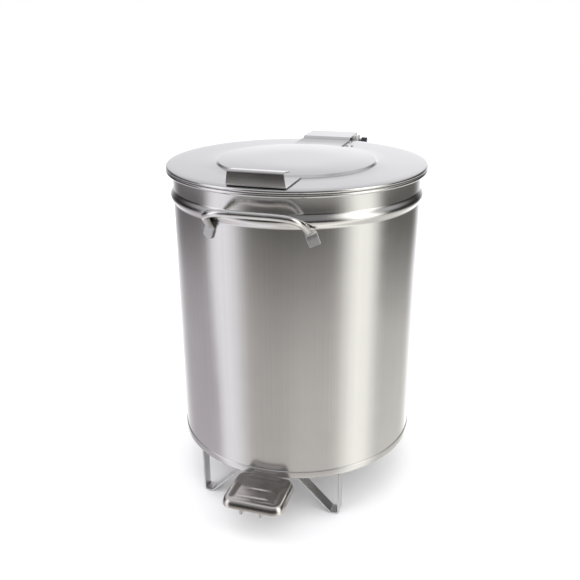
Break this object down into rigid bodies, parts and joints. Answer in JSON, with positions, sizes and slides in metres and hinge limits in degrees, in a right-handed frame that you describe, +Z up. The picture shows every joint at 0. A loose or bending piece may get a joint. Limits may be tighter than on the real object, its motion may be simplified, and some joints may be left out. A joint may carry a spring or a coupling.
{
  "type": "pedal_waste_bin",
  "caption": "Round stainless-steel clinical waste bin with a pedal, a flat hinged lid, a front carry handle and bent flat-bar legs",
  "frame": {"origin": "on the bin's axis at floor level, under the middle of the body", "axes": "+Z up; the pedal and the carry handle face -Y, the lid hinge is at +Y; +X is to the right seen from the front"},
  "size_m": [0.3996, 0.497, 0.5455],
  "materials": {
    "body_steel": "bright-annealed satin",
    "lid_steel": "bright-annealed satin",
    "pedal_steel": "bright satin",
    "bar_steel": "satin",
    "bracket_steel": "satin",
    "pin_steel": "turned",
    "bucket_plastic": "moulded",
    "pale_nylon": "moulded",
    "black_nylon": "moulded"
  },
  "bodies": {
    "bin_body": {"body_shell": "body_steel", "bottom_pan": "body_steel", "inner_bucket": "bucket_plastic", "front_leg_bar": "bar_steel", "rear_leg_bar": "bar_steel", "carry_handle": "bar_steel", "body_hinge_bracket": "bracket_steel", "lower_rod_guide": "bracket_steel", "upper_guide_bush": "pale_nylon", "lower_guide_bush": "pale_nylon", "hinge_pin": "pin_steel", "hinge_washer_left": "pale_nylon", "hinge_washer_right": "pale_nylon", "hinge_nut": "black_nylon", "hinge_lock_nut": "black_nylon", "pedal_hanger": "bracket_steel", "pedal_axle": "pin_steel", "axle_clip_left": "pin_steel", "axle_clip_right": "pin_steel", "pivot_washer_left": "pale_nylon", "pivot_washer_right": "pale_nylon"},
    "lid": {"lid_panel": "lid_steel", "lid_grip": "bracket_steel", "lid_hinge_plate": "bracket_steel", "lift_finger": "bar_steel", "lid_rivet_inner": "pin_steel", "lid_rivet_outer": "pin_steel"},
    "lift_rod": {"lift_rod": "pin_steel", "rod_cap": "black_nylon", "rod_eye": "bar_steel", "rod_lock_nut": "pin_steel"},
    "pedal": {"pedal_pad": "pedal_steel", "lever_arm_left": "bar_steel", "lever_arm_right": "bar_steel", "pivot_tube": "bar_steel", "rod_pin": "pin_steel", "rod_pin_clip_left": "pin_steel", "rod_pin_clip_right": "pin_steel"}
  },
  "joints": [
    {"name": "lid_hinge", "type": "hinge", "parent": "bin_body", "child": "lid", "pos_m": [0, 0.236, 0.516], "axis": [-1, 0, 0], "range_deg": [0, 75]},
    {"name": "pedal_pivot", "type": "hinge", "parent": "bin_body", "child": "pedal", "pos_m": [0, -0.02, 0.04], "axis": [1, 0, 0], "range_deg": [0, 9.08]},
    {"name": "lift_rod_slide", "type": "slide", "parent": "bin_body", "child": "lift_rod", "axis": [0, 0, 1], "range_m": [0, 0.03684]}
  ],
  "couplings": [
    {"joint": "pedal_pivot", "follows": "lid_hinge", "ratio": 0.12103},
    {"joint": "lift_rod_slide", "follows": "lid_hinge", "m_per_rad": 0.028137}
  ]
}
